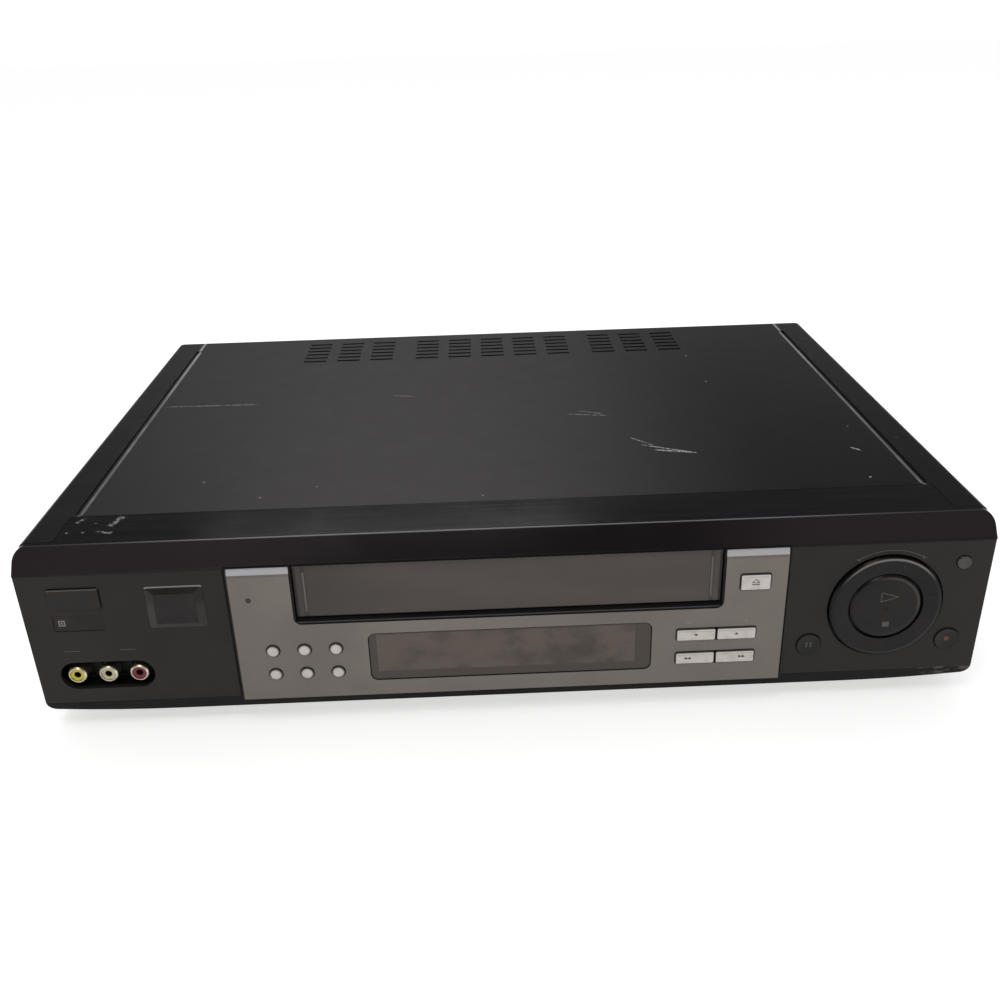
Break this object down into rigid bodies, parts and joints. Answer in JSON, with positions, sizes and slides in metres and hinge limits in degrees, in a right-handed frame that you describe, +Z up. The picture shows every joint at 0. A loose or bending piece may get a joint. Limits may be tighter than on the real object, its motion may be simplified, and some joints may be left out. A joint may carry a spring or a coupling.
{
  "type": "video cassette recorder",
  "caption": "Front-loading video cassette recorder with a sprung slot flap, shuttle dial, push buttons, phono sockets and a complete tape transport.",
  "frame": {"origin": "middle of the case's footprint, on the table under the feet", "axes": "+Z up, the front panel faces -Y, +X to the right seen from the front"},
  "size_m": [0.4298, 0.308, 0.094],
  "materials": {
    "bezel_black": "moulded plastic, matt face and glossy band",
    "board_brown": "paper-phenolic board with its parts",
    "button_black": "dark plastic button",
    "button_silver": "pale silver plastic",
    "clear_lens": "light pipe",
    "cover_paint": "satin charcoal paint on sheet steel",
    "dial_black": "dark moulded dial",
    "display_glass": "vacuum display glass",
    "door_grey": "dark grey flap",
    "drum_aluminium": "machined aluminium",
    "foot_plastic": "black feet",
    "infrared_window": "dark infrared filter",
    "insert_red": "red insulator",
    "insert_white": "white insulator",
    "insert_yellow": "yellow insulator",
    "jog_lens": "clear lamp button",
    "liner_black": "black moulding",
    "magnetic_head": "polished head block",
    "nickel": "nickel plate",
    "rubber": "black rubber",
    "screw_black": "blackened screw",
    "smoked_window": "smoked acrylic",
    "steel": "ground steel",
    "trim_grey": "warm grey moulded trim",
    "white_acetal": "moulded acetal",
    "zinc_steel": "zinc-plated sheet steel"
  },
  "bodies": {
    "case": {"top_cover": "cover_paint", "front_panel": "bezel_black", "centre_panel": "trim_grey", "door_surround": "liner_black", "display_window": "smoked_window", "display_tube": "display_glass", "remote_sensor_window": "infrared_window", "tag_reader_pad": "button_black", "shuttle_encoder": "liner_black", "front_jack_block": "liner_black", "jack_sleeves": "nickel", "video_jack_inserts": "insert_yellow", "left_jack_inserts": "insert_white", "right_jack_inserts": "insert_red", "rear_jack_block": "liner_black", "front_circuit_board": "board_brown", "indicator_lens": "clear_lens", "main_circuit_board": "board_brown", "power_supply": "board_brown", "cover_screws": "screw_black", "bottom_chassis": "zinc_steel", "rear_panel": "cover_paint", "cord_gland": "liner_black", "antenna_sockets": "nickel", "feet": "foot_plastic", "deck_plate": "zinc_steel", "head_drum_lower": "drum_aluminium", "tape_heads": "magnetic_head", "carriage_frame": "zinc_steel"},
    "door": {"cassette_door": "door_grey"},
    "power_button_body": {"power_button": "button_black"},
    "eject_button_body": {"eject_button": "button_silver"},
    "channel_down_button_body": {"channel_down_button": "button_silver"},
    "channel_up_button_body": {"channel_up_button": "button_silver"},
    "rewind_button_body": {"rewind_button": "button_silver"},
    "fast_forward_button_body": {"fast_forward_button": "button_silver"},
    "pause_button_body": {"pause_button": "button_black"},
    "record_button_body": {"record_button": "button_black"},
    "jog_button_body": {"jog_button": "jog_lens"},
    "upper_left_key_body": {"upper_left_key": "button_silver"},
    "upper_middle_key_body": {"upper_middle_key": "button_silver"},
    "upper_right_key_body": {"upper_right_key": "button_silver"},
    "lower_left_key_body": {"lower_left_key": "button_silver"},
    "lower_middle_key_body": {"lower_middle_key": "button_silver"},
    "lower_right_key_body": {"lower_right_key": "button_silver"},
    "shuttle": {"shuttle_ring": "dial_black"},
    "play_stop": {"play_stop_disc": "dial_black"},
    "channel_knob": {"channel_switch": "liner_black"},
    "drum": {"head_drum_upper": "drum_aluminium"},
    "supply_table": {"supply_reel_table": "white_acetal"},
    "take_up_table": {"take_up_reel_table": "white_acetal"},
    "idler": {"idler_arm": "zinc_steel"},
    "idler_wheel": {"idler_gear": "white_acetal"},
    "capstan": {"capstan_flywheel": "steel"},
    "pinch_arm": {"pinch_roller_arm": "zinc_steel"},
    "pinch_wheel": {"pinch_roller": "rubber"},
    "take_up_guide": {"take_up_guide_base": "white_acetal"},
    "supply_guide": {"supply_guide_base": "white_acetal"},
    "carriage": {"carriage_sliders": "zinc_steel"},
    "basket": {"cassette_basket": "zinc_steel"}
  },
  "joints": [
    {"name": "door_swing", "type": "hinge", "parent": "case", "child": "door", "pos_m": [0, -0.1499, 0.0825], "axis": [1, 0, 0], "range_deg": [0, 84], "stiffness_Nm_per_rad": 0.002},
    {"name": "power_button_press", "type": "slide", "parent": "case", "child": "power_button_body", "axis": [0, 1, 0], "range_m": [0, 0.001], "stiffness_N_per_m": 300},
    {"name": "eject_button_press", "type": "slide", "parent": "case", "child": "eject_button_body", "axis": [0, 1, 0], "range_m": [0, 0.001], "stiffness_N_per_m": 300},
    {"name": "channel_down_button_press", "type": "slide", "parent": "case", "child": "channel_down_button_body", "axis": [0, 1, 0], "range_m": [0, 0.001], "stiffness_N_per_m": 300},
    {"name": "channel_up_button_press", "type": "slide", "parent": "case", "child": "channel_up_button_body", "axis": [0, 1, 0], "range_m": [0, 0.001], "stiffness_N_per_m": 300},
    {"name": "rewind_button_press", "type": "slide", "parent": "case", "child": "rewind_button_body", "axis": [0, 1, 0], "range_m": [0, 0.001], "stiffness_N_per_m": 300},
    {"name": "fast_forward_button_press", "type": "slide", "parent": "case", "child": "fast_forward_button_body", "axis": [0, 1, 0], "range_m": [0, 0.001], "stiffness_N_per_m": 300},
    {"name": "pause_button_press", "type": "slide", "parent": "case", "child": "pause_button_body", "axis": [0, 1, 0], "range_m": [0, 0.001], "stiffness_N_per_m": 300},
    {"name": "record_button_press", "type": "slide", "parent": "case", "child": "record_button_body", "axis": [0, 1, 0], "range_m": [0, 0.001], "stiffness_N_per_m": 300},
    {"name": "jog_button_press", "type": "slide", "parent": "case", "child": "jog_button_body", "axis": [0, 1, 0], "range_m": [0, 0.001], "stiffness_N_per_m": 300},
    {"name": "upper_left_key_press", "type": "slide", "parent": "case", "child": "upper_left_key_body", "axis": [0, 1, 0], "range_m": [0, 0.001], "stiffness_N_per_m": 300},
    {"name": "upper_middle_key_press", "type": "slide", "parent": "case", "child": "upper_middle_key_body", "axis": [0, 1, 0], "range_m": [0, 0.001], "stiffness_N_per_m": 300},
    {"name": "upper_right_key_press", "type": "slide", "parent": "case", "child": "upper_right_key_body", "axis": [0, 1, 0], "range_m": [0, 0.001], "stiffness_N_per_m": 300},
    {"name": "lower_left_key_press", "type": "slide", "parent": "case", "child": "lower_left_key_body", "axis": [0, 1, 0], "range_m": [0, 0.001], "stiffness_N_per_m": 300},
    {"name": "lower_middle_key_press", "type": "slide", "parent": "case", "child": "lower_middle_key_body", "axis": [0, 1, 0], "range_m": [0, 0.001], "stiffness_N_per_m": 300},
    {"name": "lower_right_key_press", "type": "slide", "parent": "case", "child": "lower_right_key_body", "axis": [0, 1, 0], "range_m": [0, 0.001], "stiffness_N_per_m": 300},
    {"name": "shuttle_turn", "type": "hinge", "parent": "case", "child": "shuttle", "pos_m": [0.16925, -0.152, 0.0513], "axis": [0, 1, 0], "range_deg": [-75, 75], "stiffness_Nm_per_rad": 0.01},
    {"name": "play_stop_rock", "type": "hinge", "parent": "case", "child": "play_stop", "pos_m": [0.16925, -0.148, 0.0513], "axis": [1, 0, 0], "range_deg": [-2.5, 2.5], "stiffness_Nm_per_rad": 0.5},
    {"name": "channel_switch_slide", "type": "slide", "parent": "case", "child": "channel_knob", "axis": [1, 0, 0], "range_m": [0, 0.005]},
    {"name": "drum_spin", "type": "hinge", "parent": "case", "child": "drum", "pos_m": [0, 0.0919, 0.0504], "axis": [0.104, 0, 0.9946], "continuous": true},
    {"name": "supply_spin", "type": "hinge", "parent": "case", "child": "supply_table", "pos_m": [-0.04615, -0.0111, 0.0264], "axis": [0, 0, 1], "continuous": true},
    {"name": "take_up_spin", "type": "hinge", "parent": "case", "child": "take_up_table", "pos_m": [0.04615, -0.0111, 0.0264], "axis": [0, 0, 1], "continuous": true},
    {"name": "idler_swing", "type": "hinge", "parent": "case", "child": "idler", "pos_m": [0, -0.0421, 0.0264], "axis": [0, 0, 1], "range_deg": [-26.95, 26.95]},
    {"name": "idler_spin", "type": "hinge", "parent": "idler", "child": "idler_wheel", "pos_m": [0, -0.0111, 0.0264], "axis": [0, 0, 1], "continuous": true},
    {"name": "capstan_spin", "type": "hinge", "parent": "case", "child": "capstan", "pos_m": [0.062, 0.0539, 0.0264], "axis": [0, 0, 1], "continuous": true},
    {"name": "pinch_swing", "type": "hinge", "parent": "case", "child": "pinch_arm", "pos_m": [0.09, 0.0619, 0.0264], "axis": [0, 0, 1], "range_deg": [0, 35]},
    {"name": "pinch_spin", "type": "hinge", "parent": "pinch_arm", "child": "pinch_wheel", "pos_m": [0.07027, 0.07504, 0.0264], "axis": [0, 0, 1], "continuous": true},
    {"name": "take_up_loading", "type": "slide", "parent": "case", "child": "take_up_guide", "axis": [0.2691, 0.9631, 0], "range_m": [0, 0.07061]},
    {"name": "supply_loading", "type": "slide", "parent": "case", "child": "supply_guide", "axis": [-0.2691, 0.9631, 0], "range_m": [0, 0.07061]},
    {"name": "carriage_in", "type": "slide", "parent": "case", "child": "carriage", "axis": [0, 1, 0], "range_m": [0, 0.062]},
    {"name": "basket_down", "type": "slide", "parent": "carriage", "child": "basket", "axis": [0, 0, -1], "range_m": [0, 0.022]}
  ],
  "couplings": [
    {"joint": "supply_loading", "follows": "take_up_loading", "ratio": 1}
  ]
}
